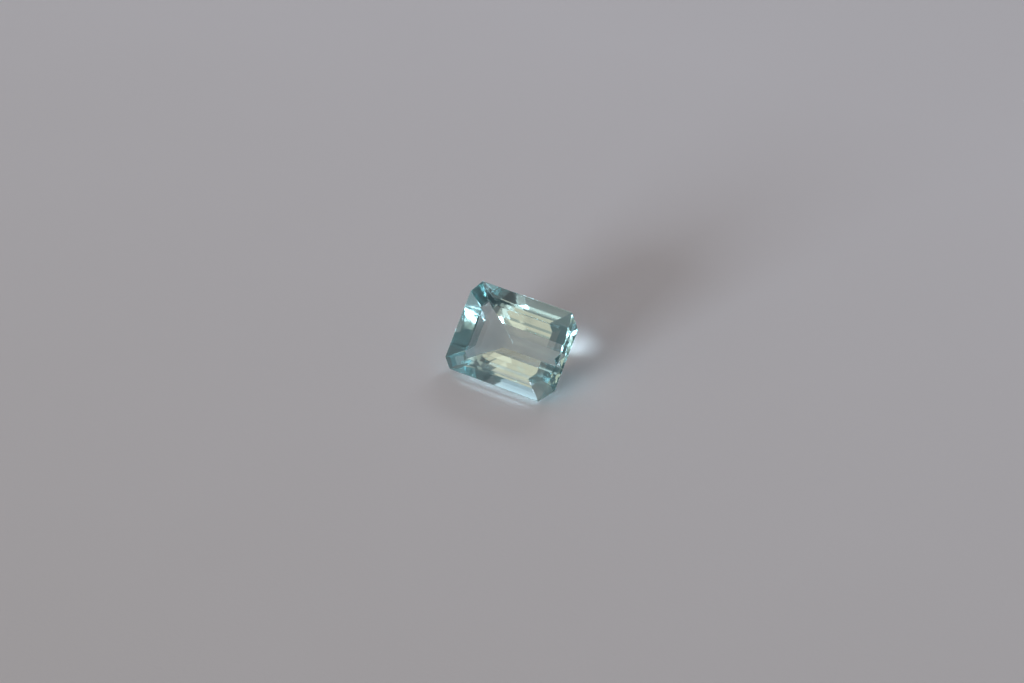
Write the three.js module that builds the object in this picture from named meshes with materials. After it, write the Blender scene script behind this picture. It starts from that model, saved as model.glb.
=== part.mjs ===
// A loose aquamarine, cut as an octagon step cut and lying tilted on one long facet of its pavilion.
// Units are millimetres and +Z is up. The stone's length runs along X and its table faces up and towards -Y.
import * as THREE from "three";

// The girdle is the stone's widest outline: an oblong with its four corners cut off.
const GIRDLE_LENGTH = 8.07;
const GIRDLE_WIDTH = 6.0;
const GIRDLE_THICKNESS = 0.04;

// How far each corner cut of the girdle reaches along the stone's length and across its width.
const BACK_RIGHT_CUT = { along: 0.82, across: 0.9 };
const BACK_LEFT_CUT = { along: 0.54, across: 0.86 };
const FRONT_LEFT_CUT = { along: 0.59, across: 0.63 };
const FRONT_RIGHT_CUT = { along: 0.82, across: 0.96 };

// Crown steps, from the girdle up to the table. A step rises by its rise, and its upper outline lies inside its
// lower one by front, back, left and right. The corner cuts there are the girdle's, times leftCuts and rightCuts.
const CROWN_STEPS = [
  { rise: 0.25, front: 0.38, back: 0.41, left: 0.75, right: 0.35, leftCuts: 0.7, rightCuts: 0.88 },
  { rise: 0.21, front: 0.37, back: 0.38, left: 0.75, right: 0.55, leftCuts: 0.73, rightCuts: 0.6 },
  { rise: 0.12, front: 0.36, back: 0.37, left: 0.53, right: 0.42, leftCuts: 0.84, rightCuts: 0.5 },
];

// Pavilion steps, from the girdle down. A step drops by its drop, and its lower outline lies inside its upper one.
const PAVILION_STEPS = [
  { drop: 1.71, front: 1.14, back: 1.14, left: 0.98, right: 0.79, leftCuts: 0.46, rightCuts: 0.76 },
  { drop: 0.61, front: 0.55, back: 0.55, left: 0.51, right: 0.34, leftCuts: 0.57, rightCuts: 0.56 },
  { drop: 0.29, front: 0.34, back: 0.34, left: 0.42, right: 0.28, leftCuts: 0.63, rightCuts: 0.44 },
  { drop: 0.34, front: 0.51, back: 0.51, left: 0.59, right: 0.39, leftCuts: 0.6, rightCuts: 0.08 },
];

// The lowest facets drop to the keel, a line along the stone's length. Its ends and its place across the stone
// are measured from the middle of the girdle.
const KEEL_DROP = 0.16;
const KEEL_LEFT_END = -0.63;
const KEEL_RIGHT_END = 1.88;
const KEEL_ACROSS = -0.03;

// The stone lies on the front facet of this pavilion step.
const RESTING_STEP = PAVILION_STEPS[1];

const AQUAMARINE = new THREE.MeshStandardMaterial({
  color: 0x9cc4ca,
  roughness: 0.03,
  metalness: 0,
});

// The eight corners of a cut outline, counter-clockwise from above, starting at the front of the right end.
function octagon({ front, back, left, right, leftCuts, rightCuts, height }) {
  const points = [
    [right, front + FRONT_RIGHT_CUT.across * rightCuts],
    [right, back - BACK_RIGHT_CUT.across * rightCuts],
    [right - BACK_RIGHT_CUT.along * rightCuts, back],
    [left + BACK_LEFT_CUT.along * leftCuts, back],
    [left, back - BACK_LEFT_CUT.across * leftCuts],
    [left, front + FRONT_LEFT_CUT.across * leftCuts],
    [left + FRONT_LEFT_CUT.along * leftCuts, front],
    [right - FRONT_RIGHT_CUT.along * rightCuts, front],
  ];
  return points.map(([x, y]) => new THREE.Vector3(x, y, height));
}

// The outline at the far edge of a step that starts at the given outline.
function stepInwards(outline, step, heightChange) {
  return {
    front: outline.front + step.front,
    back: outline.back - step.back,
    left: outline.left + step.left,
    right: outline.right - step.right,
    leftCuts: step.leftCuts,
    rightCuts: step.rightCuts,
    height: outline.height + heightChange,
  };
}

// The keel as a ring of eight points, so that it joins the octagon above it: each end takes one half of them.
function keelRing(lowestOutline) {
  const height = lowestOutline.height - KEEL_DROP;
  const rightEnd = new THREE.Vector3(KEEL_RIGHT_END, KEEL_ACROSS, height);
  const leftEnd = new THREE.Vector3(KEEL_LEFT_END, KEEL_ACROSS, height);
  return [rightEnd, rightEnd, rightEnd, leftEnd, leftEnd, leftEnd, leftEnd, rightEnd];
}

// All rings of corners, from the keel up to the table.
function stoneRings() {
  const girdleBottom = {
    front: -GIRDLE_WIDTH / 2,
    back: GIRDLE_WIDTH / 2,
    left: -GIRDLE_LENGTH / 2,
    right: GIRDLE_LENGTH / 2,
    leftCuts: 1,
    rightCuts: 1,
    height: 0,
  };
  const pavilion = [girdleBottom];
  for (const step of PAVILION_STEPS) {
    pavilion.unshift(stepInwards(pavilion[0], step, -step.drop));
  }
  const crown = [{ ...girdleBottom, height: GIRDLE_THICKNESS }];
  for (const step of CROWN_STEPS) {
    crown.push(stepInwards(crown.at(-1), step, step.rise));
  }
  return [keelRing(pavilion[0]), ...pavilion.map(octagon), ...crown.map(octagon)];
}

// A closed skin over the rings: flat facets between each ring and the next, and the table on top.
function facetedSkin(rings) {
  const corners = [];
  for (let level = 0; level + 1 < rings.length; level += 1) {
    const lower = rings[level];
    const upper = rings[level + 1];
    for (let corner = 0; corner < lower.length; corner += 1) {
      const next = (corner + 1) % lower.length;
      if (!lower[corner].equals(lower[next])) {
        corners.push(lower[corner], lower[next], upper[next]);
      }
      corners.push(lower[corner], upper[next], upper[corner]);
    }
  }
  const table = rings.at(-1);
  for (let corner = 1; corner + 1 < table.length; corner += 1) {
    corners.push(table[0], table[corner], table[corner + 1]);
  }
  const skin = new THREE.BufferGeometry().setFromPoints(corners);
  skin.computeVertexNormals();
  return skin;
}

// Tilts the stone until its resting facet is level, and sets the middle of its box over the origin.
function layDown(stone) {
  stone.rotation.x = Math.atan2(RESTING_STEP.drop, RESTING_STEP.front);
  stone.updateMatrixWorld(true);
  const box = new THREE.Box3().setFromObject(stone, true);
  const middle = box.getCenter(new THREE.Vector3());
  stone.position.set(-middle.x, -middle.y, -box.min.z);
}

const gem = new THREE.Mesh(facetedSkin(stoneRings()), AQUAMARINE);
gem.name = "gem";
layDown(gem);

const looseStone = new THREE.Group();
looseStone.add(gem);

export default looseStone;
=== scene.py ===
# %% [markdown]
# # A loose step-cut aquamarine
# The object is one polished gemstone: pale blue-green beryl, ground into flat steps around an octagon table.
# It lies on a pale surface, tipped onto a long facet of its underside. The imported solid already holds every
# facet. What is left to make here is the fine surface: worn facet edges, small chips on the girdle, clear
# beryl with its faint colour, and the soft light that the facets catch and throw about inside the stone.

# %% Load the stone's solid
import math

import bpy
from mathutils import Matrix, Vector


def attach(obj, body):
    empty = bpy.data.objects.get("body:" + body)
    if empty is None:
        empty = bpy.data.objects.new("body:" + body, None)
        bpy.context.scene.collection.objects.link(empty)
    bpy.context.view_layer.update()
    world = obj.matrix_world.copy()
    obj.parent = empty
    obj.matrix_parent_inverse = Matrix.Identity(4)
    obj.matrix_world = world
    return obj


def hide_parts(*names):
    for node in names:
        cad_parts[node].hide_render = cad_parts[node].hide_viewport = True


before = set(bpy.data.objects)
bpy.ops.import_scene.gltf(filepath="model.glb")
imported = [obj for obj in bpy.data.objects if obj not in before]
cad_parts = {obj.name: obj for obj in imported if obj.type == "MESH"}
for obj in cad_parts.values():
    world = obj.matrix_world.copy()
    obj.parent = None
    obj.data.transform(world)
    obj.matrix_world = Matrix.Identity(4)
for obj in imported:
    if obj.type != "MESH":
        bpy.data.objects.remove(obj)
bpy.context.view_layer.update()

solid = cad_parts["gem"]

# %% [markdown]
# The stone is worked as a copy, because the solid stays as it is. A bevel of a hundredth of a millimetre is
# too small for edit tools that count in metres, so the copy is first made a thousand times larger, as a cutter
# works under a loupe. One Blender metre is then one millimetre of the stone. The copy comes as loose
# triangles: merging the doubles closes it, and a limited dissolve turns the triangles of each facet into one
# flat face.

# %% Copy the solid and join up its facets
LOUPE = 1000.0
WELD_DISTANCE = 0.001
FLAT_ANGLE = math.radians(0.5)


def work_on(piece):
    """Makes one piece the only selected and the active object."""
    bpy.ops.object.select_all(action="DESELECT")
    piece.select_set(True)
    bpy.context.view_layer.objects.active = piece


def resize(piece, factor):
    """Scales a piece about the origin and puts the scale into its mesh."""
    work_on(piece)
    piece.scale = (factor, factor, factor)
    bpy.ops.object.transform_apply(location=False, rotation=False, scale=True)


stone = bpy.data.objects.new("cut_stone", solid.data.copy())
bpy.context.scene.collection.objects.link(stone)
resize(stone, LOUPE)
bpy.ops.object.mode_set(mode="EDIT")
bpy.ops.mesh.select_all(action="SELECT")
bpy.ops.mesh.remove_doubles(threshold=WELD_DISTANCE)
bpy.ops.mesh.dissolve_limited(angle_limit=FLAT_ANGLE)
bpy.ops.object.mode_set(mode="OBJECT")
print("cut stone:", len(stone.data.polygons), "facets")

# %% [markdown]
# The places of the chips are read off the clean facets, before anything rounds them. The stone lies tilted,
# so the back edge of its girdle is its highest line, and the front edge of its girdle reaches furthest forward.

# %% Find the two long girdle edges
EDGE_REACH = 0.02

corners = [vertex.co.copy() for vertex in stone.data.vertices]
highest = max(corner.z for corner in corners)
foremost = min(corner.y for corner in corners)
back_edge = sorted((c for c in corners if highest - c.z < EDGE_REACH), key=lambda c: c.x)
front_edge = sorted((c for c in corners if c.y - foremost < EDGE_REACH), key=lambda c: c.x)
print("back girdle edge:", back_edge[0][:], "to", back_edge[-1][:])
print("front girdle edge:", front_edge[0][:], "to", front_edge[-1][:])

# %% [markdown]
# On a stone that has been handled, the edges where two facets meet are worn to hair-thin flats. They show as
# fine pale lines, on the surface and again wherever the inside mirrors them. A bevel modifier with one segment
# makes such a flat on every facet edge at once, and the angle limit keeps it off the flat faces.

# %% Wear the facet edges
EDGE_WEAR = 0.012
EDGE_ANGLE = math.radians(1.5)

work_on(stone)
edge_wear = stone.modifiers.new("edge_wear", "BEVEL")
edge_wear.width = EDGE_WEAR
edge_wear.segments = 1
edge_wear.limit_method = "ANGLE"
edge_wear.angle_limit = EDGE_ANGLE
bpy.ops.object.modifier_apply(modifier=edge_wear.name)
print("worn stone:", len(stone.data.polygons), "faces")

# %% [markdown]
# The girdle carries a few tiny chips. Beryl breaks in shell-shaped hollows, so each chip is a shallow bite of
# a small ball into the edge. The ball is only the cutting tool: a boolean takes its shape out of the stone.

# %% Chip the girdle
# Each chip's place is a share of the way along its edge, from the left, and its size is the ball's radius.
BACK_CHIPS = [(0.50, 0.10), (0.62, 0.12), (0.67, 0.08)]
FRONT_CHIPS = [(0.0, 0.14), (1.0, 0.12)]
BACK_OUTWARDS = Vector((0.0, 0.6, 0.8))
FRONT_OUTWARDS = Vector((0.0, -1.0, 0.1)).normalized()
CHIP_OFFSET = 0.55
BALL_SUBDIVISIONS = 2


def chip(piece, place, radius, outwards):
    """Bites a shell-shaped hollow out of the piece's edge at the place."""
    bpy.ops.object.select_all(action="DESELECT")
    middle = place + outwards * radius * CHIP_OFFSET
    bpy.ops.mesh.primitive_ico_sphere_add(subdivisions=BALL_SUBDIVISIONS, radius=radius, location=middle)
    ball = bpy.context.active_object
    work_on(piece)
    bite = piece.modifiers.new("bite", "BOOLEAN")
    bite.operation = "DIFFERENCE"
    bite.solver = "EXACT"
    bite.object = ball
    bpy.ops.object.modifier_apply(modifier=bite.name)
    bpy.data.objects.remove(ball, do_unlink=True)


for share, radius in BACK_CHIPS:
    chip(stone, back_edge[0].lerp(back_edge[-1], share), radius, BACK_OUTWARDS)
for share, radius in FRONT_CHIPS:
    chip(stone, front_edge[0].lerp(front_edge[-1], share), radius, FRONT_OUTWARDS)
print("chipped stone:", len(stone.data.polygons), "faces")

# %% [markdown]
# Back at its real size, the stone takes the solid's place on the one body that there is. Facets are flat, so
# the shading stays flat too: a smoothed normal would bend the light at every facet edge.

# %% Set the stone in place
resize(stone, 1.0 / LOUPE)
bpy.ops.object.shade_flat()
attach(stone, "root")
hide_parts("gem")
print("stone spans", [round(side * LOUPE, 3) for side in stone.dimensions], "mm")

# %% [markdown]
# Aquamarine is clear beryl with a trace of iron. Its refractive index of 1.577 makes the facets mirror the
# light inside the stone. So the surface is plain clear glass with that index, and it has no colour of its own.

# %% Make the clear beryl
BERYL_INDEX = 1.577

beryl = bpy.data.materials.new("clear_aquamarine")
beryl.use_nodes = True
beryl_tree = beryl.node_tree
surface = beryl_tree.nodes["Principled BSDF"]
surface.inputs["Base Color"].default_value = (1.0, 1.0, 1.0, 1.0)
surface.inputs["Transmission Weight"].default_value = 1.0
surface.inputs["IOR"].default_value = BERYL_INDEX
stone.data.materials.clear()
stone.data.materials.append(beryl)
print("beryl index:", BERYL_INDEX)

# %% [markdown]
# The polish isn't perfect: it is softer in faint patches, and the facets carry a very low ripple. Two noise
# textures make these, one for the roughness and one for a bump. They lie on the stone's own coordinates, so
# they stay in their places on it from every side.

# %% Polish the beryl
POLISH_PATCHES = 1400.0
POLISH_DETAIL = 3.0
POLISH_NOISE = (0.35, 0.75)
POLISH_RANGE = (0.03, 0.10)
RIPPLE_SCALE = 2600.0
RIPPLE_DETAIL = 1.0
RIPPLE_STRENGTH = 0.05
RIPPLE_HEIGHT = 0.000002


def add_noise(tree, place, scale, detail):
    """Adds a noise texture on the piece's own coordinates, and gives back its grey pattern."""
    noise = tree.nodes.new("ShaderNodeTexNoise")
    noise.inputs["Scale"].default_value = scale
    noise.inputs["Detail"].default_value = detail
    tree.links.new(place.outputs["Object"], noise.inputs["Vector"])
    return noise.outputs["Fac"]


def add_relief(tree, pattern, strength, height):
    """Lets a pattern tilt the shading of the surface, as a low relief would."""
    relief = tree.nodes.new("ShaderNodeBump")
    relief.inputs["Strength"].default_value = strength
    relief.inputs["Distance"].default_value = height
    tree.links.new(pattern, relief.inputs["Height"])
    tree.links.new(relief.outputs["Normal"], tree.nodes["Principled BSDF"].inputs["Normal"])


place = beryl_tree.nodes.new("ShaderNodeTexCoord")
patches = add_noise(beryl_tree, place, POLISH_PATCHES, POLISH_DETAIL)
polish = beryl_tree.nodes.new("ShaderNodeMapRange")
polish.inputs["From Min"].default_value = POLISH_NOISE[0]
polish.inputs["From Max"].default_value = POLISH_NOISE[1]
polish.inputs["To Min"].default_value = POLISH_RANGE[0]
polish.inputs["To Max"].default_value = POLISH_RANGE[1]
beryl_tree.links.new(patches, polish.inputs["Value"])
beryl_tree.links.new(polish.outputs["Result"], surface.inputs["Roughness"])
waves = add_noise(beryl_tree, place, RIPPLE_SCALE, RIPPLE_DETAIL)
add_relief(beryl_tree, waves, RIPPLE_STRENGTH, RIPPLE_HEIGHT)
print("polish: roughness", POLISH_RANGE)

# %% [markdown]
# The colour comes from the path of the light: red is swallowed a little in every millimetre, green and blue
# hardly at all. A tinted surface would be as blue at a thin edge as in the deep middle. So the colour is a
# volume absorption, with constant values.

# %% Colour the inside of the beryl
ABSORPTION_DENSITY = 80.0
ABSORPTION_COLOUR = (0.2, 0.835, 0.88, 1.0)

colour = beryl_tree.nodes.new("ShaderNodeVolumeAbsorption")
colour.inputs["Color"].default_value = ABSORPTION_COLOUR
colour.inputs["Density"].default_value = ABSORPTION_DENSITY
beryl_tree.links.new(colour.outputs["Volume"], beryl_tree.nodes["Material Output"].inputs["Volume"])
print("beryl:", len(beryl_tree.nodes), "nodes")

# %% [markdown]
# The stone lies on a plain pale surface, like a matt sheet of card. A plane is enough for its shape. A facet
# that lies on card touches only its highest fibres, so a film of air stays between them and the facet still
# mirrors inside. The plane therefore lies a hair's breadth lower. It is only the stage, not part of the
# object.

# %% Lay the pale card under the stone
CARD_SIDE = 3.0
AIR_GAP = 0.00002

bpy.ops.object.select_all(action="DESELECT")
bpy.ops.mesh.primitive_plane_add(size=CARD_SIDE, location=(0.0, 0.0, -AIR_GAP))
card = bpy.context.active_object
card.name = "pale_card"
print("card:", CARD_SIDE, "m square")

# %% [markdown]
# Card is matt and its fibres give it a fine grain. A rough surface with a weak gloss and a bump from fine noise
# are enough for that, because the camera sees the card only as a soft ground.

# %% Make the matt card
CARD_ROUGHNESS = 0.85
CARD_GLOSS = 0.2
GRAIN_SCALE = 4000.0
GRAIN_DETAIL = 2.0
GRAIN_STRENGTH = 0.1
GRAIN_HEIGHT = 0.00005

paper = bpy.data.materials.new("matt_card")
paper.use_nodes = True
paper_tree = paper.node_tree
surface = paper_tree.nodes["Principled BSDF"]
surface.inputs["Roughness"].default_value = CARD_ROUGHNESS
surface.inputs["Specular IOR Level"].default_value = CARD_GLOSS
place = paper_tree.nodes.new("ShaderNodeTexCoord")
grain = add_noise(paper_tree, place, GRAIN_SCALE, GRAIN_DETAIL)
add_relief(paper_tree, grain, GRAIN_STRENGTH, GRAIN_HEIGHT)
card.data.materials.append(paper)
print("card roughness:", CARD_ROUGHNESS)

# %% [markdown]
# The card is painted a little darker at its front and paler towards its back. This gradient is painted light:
# it stands in for the light that falls more strongly on the card behind the stone, and is not a tone of the
# card itself. A gradient along its depth gives the share of the paler tone. Large, faint clouds of noise on top
# are a random tone of the card, and they keep the fade from being dead even.

# %% Paint the light's fall-off into the card's colour
# Painted light: the front colour is painted shade and the back colour is painted light, both on the card's own
# pale tone.
CARD_FRONT_WITH_PAINTED_SHADE = (0.76, 0.72, 0.71, 1.0)
CARD_BACK_WITH_PAINTED_LIGHT = (0.93, 0.90, 0.93, 1.0)
PAINTED_LIGHT_FADE_FRONT = -0.042
PAINTED_LIGHT_FADE_BACK = 0.048
CLOUD_SCALE = 60.0
CLOUD_DETAIL = 4.0
CLOUD_SHARE = 0.12


def add_blend(tree, share, first_colour, second_colour):
    """Adds a mix that goes from the first colour to the second one as the share grows."""
    blend = tree.nodes.new("ShaderNodeMix")
    blend.data_type = "RGBA"
    blend.inputs["A"].default_value = first_colour
    blend.inputs["B"].default_value = second_colour
    tree.links.new(share, blend.inputs["Factor"])
    return blend


split = paper_tree.nodes.new("ShaderNodeSeparateXYZ")
painted_light_fade = paper_tree.nodes.new("ShaderNodeMapRange")
painted_light_fade.inputs["From Min"].default_value = PAINTED_LIGHT_FADE_FRONT
painted_light_fade.inputs["From Max"].default_value = PAINTED_LIGHT_FADE_BACK
clouds = add_noise(paper_tree, place, CLOUD_SCALE, CLOUD_DETAIL)
painted_light_fade_with_clouds = paper_tree.nodes.new("ShaderNodeMath")
painted_light_fade_with_clouds.operation = "MULTIPLY_ADD"
painted_light_fade_with_clouds.inputs[1].default_value = CLOUD_SHARE
paper_tree.links.new(place.outputs["Object"], split.inputs["Vector"])
paper_tree.links.new(split.outputs["Y"], painted_light_fade.inputs["Value"])
paper_tree.links.new(clouds, painted_light_fade_with_clouds.inputs[0])
paper_tree.links.new(painted_light_fade.outputs["Result"], painted_light_fade_with_clouds.inputs[2])
# The painted light fall-off, roughened by the random clouds of tone, sets the card's base colour.
card_colour_with_painted_light = add_blend(paper_tree, painted_light_fade_with_clouds.outputs["Value"], CARD_FRONT_WITH_PAINTED_SHADE, CARD_BACK_WITH_PAINTED_LIGHT)
paper_tree.links.new(card_colour_with_painted_light.outputs["Result"], surface.inputs["Base Color"])
print("card:", len(paper_tree.nodes), "nodes")

# %% [markdown]
# The camera looks at the middle of the girdle from the front right and above, from far enough away that the
# stone's sides stay nearly parallel. A long lens gives the close, flat view.

# %% Place the camera
CAMERA_TURN = math.radians(32.41)
CAMERA_RISE = math.radians(34.61)
CAMERA_DISTANCE = 0.1886
CAMERA_LENS = 104.46
CAMERA_CLIP_START = 0.001
GIRDLE_MIDDLE = Vector((0.0, -0.000281, 0.002526))


def direction(turn, rise):
    """The way from the stone to a place that is turned to the right from the front and raised by a rise."""
    return Vector((math.sin(turn) * math.cos(rise), -math.cos(turn) * math.cos(rise), math.sin(rise)))


bpy.ops.object.select_all(action="DESELECT")
towards_camera = direction(CAMERA_TURN, CAMERA_RISE)
bpy.ops.object.camera_add(
    location=GIRDLE_MIDDLE + towards_camera * CAMERA_DISTANCE,
    rotation=towards_camera.to_track_quat("Z", "Y").to_euler(),
)
camera = bpy.context.active_object
camera.data.lens = CAMERA_LENS
camera.data.clip_start = CAMERA_CLIP_START
bpy.context.scene.camera = camera
print("camera at", [round(metres, 4) for metres in camera.location])

# %% [markdown]
# A gemstone looks like what is around it, so the light matters as much as the stone. A small bright lamp stands
# low at the front left and throws the shadow to the back right. A second lamp stands behind the stone and
# shines through it, which leaves a pale blue glow on the card in front. Larger, dimmer panels stand around
# them. The long facets show the warm ones as cream stripes, and the lower crown facets show the cool one at
# the back. Each panel faces the stone. Its place is given by how far it is turned to the right of the camera,
# seen from above, and by how high it is raised.

# %% Light the studio
PANEL_DISTANCE = 1.0
COOL_WHITE = (0.86, 1.0, 1.14)
SOFT_WHITE = (1.06, 1.0, 0.94)
CREAM = (1.28, 1.0, 0.79)
AMBER = (1.55, 1.0, 0.67)
PANELS = [
    # name, turn and rise in degrees, width and height in metres, strength, tint
    ("key_lamp", -38.0, 9.5, 0.36, 0.32, 18.0, COOL_WHITE),
    ("front_wall", -26.5, 2.5, 1.06, 0.70, 0.61, SOFT_WHITE),
    ("front_screen", -34.0, 20.5, 0.96, 0.88, 0.25, CREAM),
    ("left_wall", -57.0, 11.0, 1.08, 0.42, 0.58, SOFT_WHITE),
    ("high_left_screen", -48.0, 48.0, 0.66, 0.48, 0.46, AMBER),
    ("back_left_strip", -151.0, 45.5, 0.20, 0.66, 0.37, CREAM),
    ("back_lamp", 152.0, 32.5, 0.34, 0.12, 7.2, COOL_WHITE),
    ("back_screen", 176.0, 36.0, 0.46, 0.76, 0.62, COOL_WHITE),
]


def soft_panel(name, turn, rise, width, height, strength, tint):
    """Adds an oblong area light that faces the stone and looks as bright as its strength says."""
    towards_panel = direction(CAMERA_TURN + math.radians(turn), math.radians(rise))
    bpy.ops.object.select_all(action="DESELECT")
    bpy.ops.object.light_add(
        type="AREA",
        location=towards_panel * PANEL_DISTANCE,
        rotation=towards_panel.to_track_quat("Z", "Y").to_euler(),
    )
    panel = bpy.context.active_object
    panel.name = name
    panel.data.shape = "RECTANGLE"
    panel.data.size = width
    panel.data.size_y = height
    panel.data.color = tint
    panel.data.energy = math.pi * strength * width * height
    panel.visible_camera = False


for panel in PANELS:
    soft_panel(*panel)
print("panels:", len(PANELS))

# %% [markdown]
# The room around the panels is dim, and a little brighter towards its ceiling. A gradient over the directions
# around the stone makes it, so there are no walls to build.

# %% Fill the room with dim light
ROOM_LOW = (0.117, 0.119, 0.123, 1.0)
ROOM_HIGH = (0.166, 0.169, 0.174, 1.0)

room = bpy.data.worlds.new("dim_room")
room.use_nodes = True
bpy.context.scene.world = room
room_tree = room.node_tree
way = room_tree.nodes.new("ShaderNodeTexCoord")
split = room_tree.nodes.new("ShaderNodeSeparateXYZ")
room_tree.links.new(way.outputs["Generated"], split.inputs["Vector"])
dim = add_blend(room_tree, split.outputs["Z"], ROOM_LOW, ROOM_HIGH)
print("room:", room.name)

# %% [markdown]
# One corner of the room, on the viewer's right, is nearly dark, and the facets that mirror it turn deep teal.
# A direction's dot product with the way to the corner says how near it points to the corner. A smooth step over
# that product makes a round dark patch with a soft edge.

# %% Darken one corner of the room
CORNER_DARK = (0.046, 0.056, 0.062, 1.0)
CORNER_TURN = math.radians(33.0)
CORNER_RISE = math.radians(44.0)
CORNER_EDGE = math.cos(math.radians(28.0))
CORNER_CORE = math.cos(math.radians(13.0))

towards_corner = room_tree.nodes.new("ShaderNodeVectorMath")
towards_corner.operation = "DOT_PRODUCT"
towards_corner.inputs[1].default_value = direction(CAMERA_TURN + CORNER_TURN, CORNER_RISE)
patch = room_tree.nodes.new("ShaderNodeMapRange")
patch.interpolation_type = "SMOOTHSTEP"
patch.inputs["From Min"].default_value = CORNER_EDGE
patch.inputs["From Max"].default_value = CORNER_CORE
room_tree.links.new(way.outputs["Generated"], towards_corner.inputs[0])
room_tree.links.new(towards_corner.outputs["Value"], patch.inputs["Value"])
dark_corner = add_blend(room_tree, patch.outputs["Result"], ROOM_LOW, CORNER_DARK)
room_tree.links.new(dim.outputs["Result"], dark_corner.inputs["A"])
room_tree.links.new(dark_corner.outputs["Result"], room_tree.nodes["Background"].inputs["Color"])
print("room:", len(room_tree.nodes), "nodes")

# %% [markdown]
# Light that enters the stone is mirrored many times before it finds a way out. With too few bounces those
# paths end in black facets, so the limits are raised. The stone also gathers the lamp's light into a bright
# patch on the card, beside its right end. The glossy filter would smear that patch away, so it is turned off.
# Plain display colours keep the pale tones as they are.

# %% Let the light bounce inside the stone
ALL_BOUNCES = 32
MIRROR_BOUNCES = 24

scene = bpy.context.scene
scene.cycles.blur_glossy = 0.0
scene.cycles.max_bounces = ALL_BOUNCES
scene.cycles.glossy_bounces = MIRROR_BOUNCES
scene.cycles.transmission_bounces = ALL_BOUNCES
scene.view_settings.view_transform = "Standard"
print("bounces:", scene.cycles.max_bounces)
